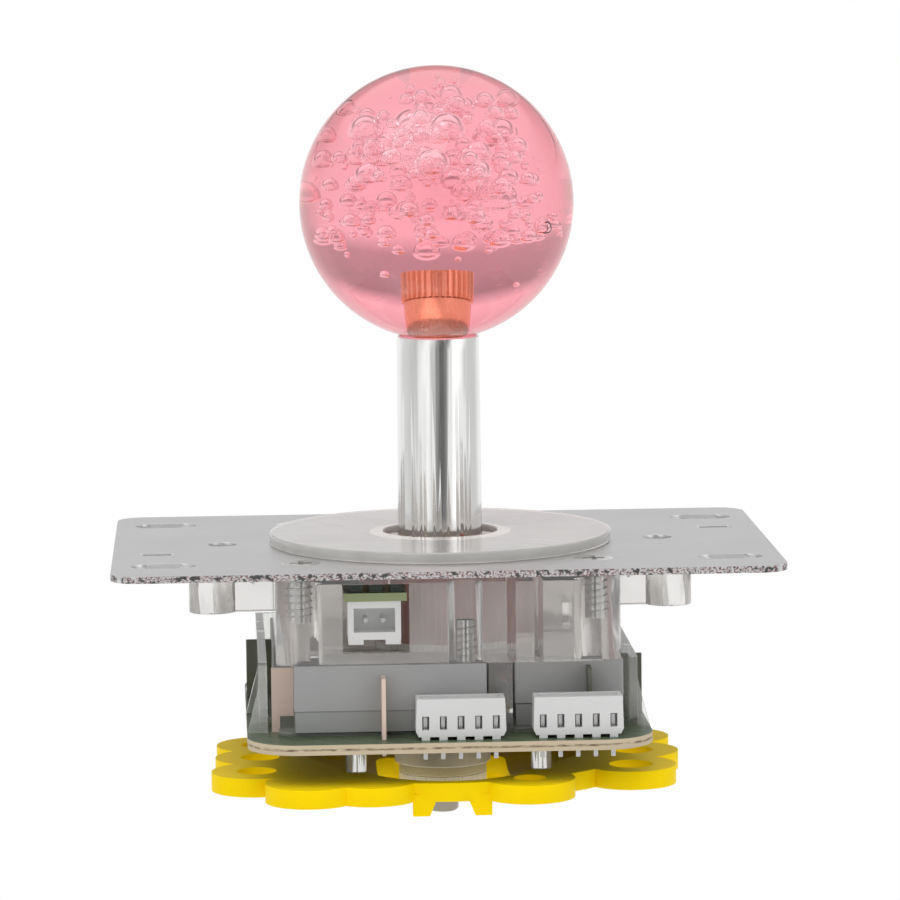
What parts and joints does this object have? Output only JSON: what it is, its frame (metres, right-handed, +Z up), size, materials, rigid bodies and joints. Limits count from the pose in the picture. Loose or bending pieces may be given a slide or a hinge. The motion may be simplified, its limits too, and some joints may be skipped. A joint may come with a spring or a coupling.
{
  "type": "arcade joystick",
  "caption": "Ball-top arcade lever unit with a clear bubble ball, a slotted steel plate, a clear housing with lever switches on a circuit board, and a yellow gate.",
  "frame": {"origin": "on the lever's axis at the plate's top face, centre of the four mounting slots", "axes": "+Z up along the lever toward the ball, +X to the right with the board headers facing -Y"},
  "size_m": [0.097, 0.0663, 0.1114],
  "materials": {
    "clear_pink": "clear cast resin with bubbles, polished",
    "brass": "turned and knurled",
    "lamp_glass": "clear lens",
    "steel": "plain",
    "plated_steel": "bright plated",
    "white_plastic": "moulded",
    "clear_plastic": "clear moulded",
    "clear_sheet": "clear sheet, cut edge",
    "clear_red": "clear red moulded",
    "zinc_plate": "zinc plated, sheared edge",
    "green_board": "solder mask over glass laminate",
    "yellow_plastic": "moulded",
    "header_white": "moulded",
    "tin": "tinned",
    "black_plastic": "moulded",
    "switch_grey": "moulded",
    "switch_grey_dark": "moulded",
    "copper": "stamped",
    "plunger_red": "moulded"
  },
  "bodies": {
    "housing": {"mounting_plate": "zinc_plate", "dust_washer": "clear_sheet", "plate_screws": "steel", "upper_housing": "clear_plastic", "pivot_socket": "clear_red", "socket_cap": "clear_red", "spring_seat": "white_plastic", "spring": "steel", "lower_frame": "clear_plastic", "frame_screws": "steel", "circuit_board": "green_board", "gate": "yellow_plastic", "header_left": "header_white", "header_right": "header_white", "header_left_pins": "tin", "header_right_pins": "tin", "lamp_board": "green_board", "lamp_board_parts": "black_plastic", "lamp_header": "header_white", "lamp_header_pins": "tin", "switch_front_case": "switch_grey", "switch_front_cover": "switch_grey_dark", "switch_front_terminals": "copper", "switch_right_case": "switch_grey", "switch_right_cover": "switch_grey_dark", "switch_right_terminals": "copper", "switch_back_case": "switch_grey", "switch_back_cover": "switch_grey_dark", "switch_back_terminals": "copper", "switch_left_case": "switch_grey", "switch_left_cover": "switch_grey_dark", "switch_left_terminals": "copper"},
    "pivot_liner": {"pivot_liner": "white_plastic"},
    "stick": {"ball_top": "clear_pink", "ball_insert": "brass", "lamp": "lamp_glass", "shaft": "steel", "shaft_cover": "plated_steel", "pivot": "white_plastic", "actuator": "clear_plastic", "retaining_washer": "plated_steel", "e_clip": "steel"},
    "plunger_front": {"plunger_front": "plunger_red"},
    "plunger_right": {"plunger_right": "plunger_red"},
    "plunger_back": {"plunger_back": "plunger_red"},
    "plunger_left": {"plunger_left": "plunger_red"}
  },
  "joints": [
    {"name": "tilt_fore_aft", "type": "hinge", "parent": "housing", "child": "pivot_liner", "pos_m": [0, 0, -0.0095], "axis": [1, 0, 0], "range_deg": [-6.5, 6.5], "stiffness_Nm_per_rad": 0.8, "deforming": ["spring"]},
    {"name": "tilt_side", "type": "hinge", "parent": "pivot_liner", "child": "stick", "pos_m": [0, 0, -0.0095], "axis": [0, 1, 0], "range_deg": [-6.5, 6.5], "stiffness_Nm_per_rad": 0.8},
    {"name": "plunger_front_travel", "type": "slide", "parent": "housing", "child": "plunger_front", "axis": [0, -1, 0], "range_m": [-0.00115, 0.00115]},
    {"name": "plunger_right_travel", "type": "slide", "parent": "housing", "child": "plunger_right", "axis": [1, 0, 0], "range_m": [-0.00115, 0.00115]},
    {"name": "plunger_back_travel", "type": "slide", "parent": "housing", "child": "plunger_back", "axis": [0, 1, 0], "range_m": [-0.00115, 0.00115]},
    {"name": "plunger_left_travel", "type": "slide", "parent": "housing", "child": "plunger_left", "axis": [-1, 0, 0], "range_m": [-0.00115, 0.00115]}
  ],
  "couplings": [
    {"joint": "plunger_front_travel", "follows": "tilt_fore_aft", "m_per_rad": -0.0097},
    {"joint": "plunger_back_travel", "follows": "tilt_fore_aft", "m_per_rad": 0.0097},
    {"joint": "plunger_right_travel", "follows": "tilt_side", "m_per_rad": -0.0097},
    {"joint": "plunger_left_travel", "follows": "tilt_side", "m_per_rad": 0.0097}
  ]
}
